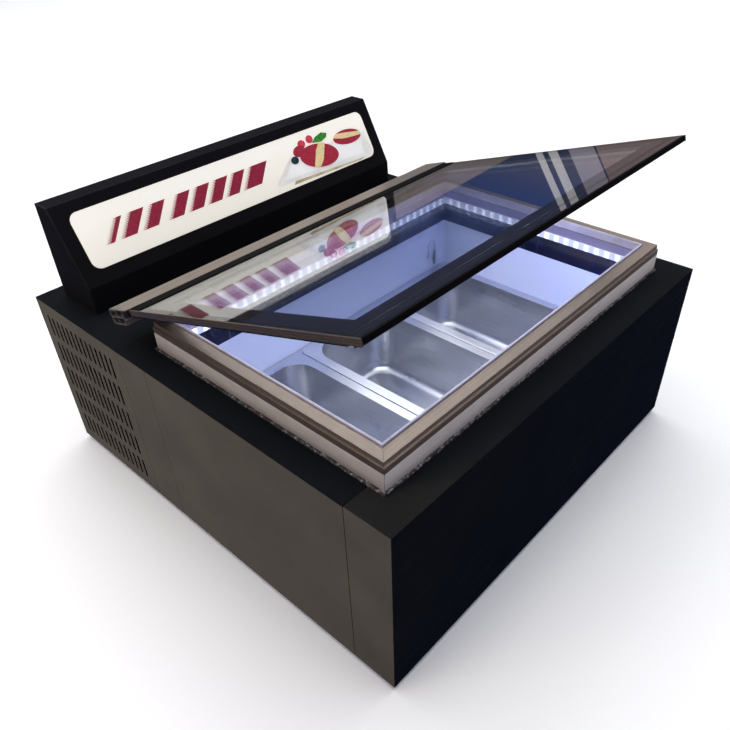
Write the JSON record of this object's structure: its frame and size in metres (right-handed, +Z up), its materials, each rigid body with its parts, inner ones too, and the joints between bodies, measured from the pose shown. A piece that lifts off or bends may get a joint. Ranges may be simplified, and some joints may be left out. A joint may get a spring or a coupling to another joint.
{
  "type": "countertop chest freezer",
  "caption": "Low countertop display chest freezer with a rear-hinged double-glazed lid, lit collar, lift-out pans, louvred machine bay and a leaning light box.",
  "frame": {"origin": "middle of the footprint, on the surface the freezer stands on", "axes": "+Z up, +Y towards the light box at the rear, +X to the right seen from the front"},
  "size_m": [0.655, 0.67, 0.4498],
  "materials": {
    "black_panel": "matte",
    "galvanised": "satin",
    "rubber": "matte",
    "foam": "matte",
    "white_liner": "gloss",
    "evaporator": "satin",
    "dark_gloss": "gloss",
    "stainless": "satin",
    "board": "matte",
    "champagne": "satin",
    "white_seal": "matte",
    "led_channel": "satin",
    "diffuser": "satin",
    "opal": "gloss",
    "copper": "satin",
    "black_steel": "satin",
    "fins": "satin",
    "black_plastic": "matte",
    "zinc": "satin",
    "glass": "polished",
    "spacer": "satin",
    "red_switch": "gloss"
  },
  "bodies": {
    "cabinet": {"base_tray": "galvanised", "rubber_feet": "rubber", "front_cover": "black_panel", "side_panel_left": "black_panel", "side_panel_right": "black_panel", "filler_strips": "black_panel", "louvre_panel_left": "black_panel", "louvre_panel_right": "black_panel", "rear_panel": "black_panel", "deck_middle": "black_panel", "deck_rear": "black_panel", "machine_bulkhead": "galvanised", "screws": "zinc", "foam_front": "foam", "foam_rear": "foam", "foam_sides": "foam", "foam_floor": "foam", "tub_liner": "white_liner", "evaporator_plates": "evaporator", "glare_bands": "dark_gloss", "pan_rails": "stainless", "pan_crossbars": "stainless", "sensor_probe": "black_plastic", "sensor_lead": "white_seal", "collar_boards_long": "board", "collar_boards_short": "board", "rim_profiles_long": "champagne", "rim_profiles_short": "champagne", "rim_lip": "white_seal", "led_channels": "led_channel", "led_diffusers": "diffuser", "sign_housing": "black_panel", "sign_ends": "black_panel", "sign_panel": "opal", "sign_back": "black_panel", "sign_led_bars": "led_channel", "compressor": "black_steel", "compressor_mounts": "rubber", "condenser": "fins", "fan_shroud": "galvanised", "fan_motor": "black_steel", "refrigerant_lines": "copper", "control_box": "black_plastic", "power_inlet": "black_plastic", "hinge_brackets": "zinc", "hinge_pins": "zinc"},
    "lid": {"lid_hinge_leaves": "zinc", "lid_hinge_profile": "champagne", "lid_glass_top": "glass", "lid_glass_bottom": "glass", "lid_spacer": "spacer", "lid_side_trims": "champagne", "lid_front_strip": "black_plastic", "lid_gasket": "black_plastic"},
    "pan_left": {"pan_left": "stainless"},
    "pan_middle": {"pan_middle": "stainless"},
    "pan_right": {"pan_right": "stainless"},
    "fan": {"fan_blade": "black_plastic"},
    "knob": {"thermostat_knob": "black_plastic"},
    "switch_paddle": {"rocker_switch": "red_switch"}
  },
  "joints": [
    {"name": "lid_hinge", "type": "hinge", "parent": "cabinet", "child": "lid", "pos_m": [0, 0.114, 0.293], "axis": [-1, 0, 0], "range_deg": [-18.05, 52]},
    {"name": "pan_left_lift", "type": "slide", "parent": "cabinet", "child": "pan_left", "axis": [0, 0, 1], "range_m": [0, 0.125]},
    {"name": "pan_middle_lift", "type": "slide", "parent": "cabinet", "child": "pan_middle", "axis": [0, 0, 1], "range_m": [0, 0.125]},
    {"name": "pan_right_lift", "type": "slide", "parent": "cabinet", "child": "pan_right", "axis": [0, 0, 1], "range_m": [0, 0.125]},
    {"name": "fan_spin", "type": "hinge", "parent": "cabinet", "child": "fan", "pos_m": [-0.261, 0.23, 0.125], "axis": [1, 0, 0], "continuous": true},
    {"name": "thermostat_turn", "type": "hinge", "parent": "cabinet", "child": "knob", "pos_m": [0.206, 0.3158, 0.211], "axis": [0, 1, 0], "range_deg": [0, 270]},
    {"name": "switch_tip", "type": "hinge", "parent": "cabinet", "child": "switch_paddle", "pos_m": [0.246, 0.3148, 0.211], "axis": [1, 0, 0], "range_deg": [-6, 6]}
  ]
}
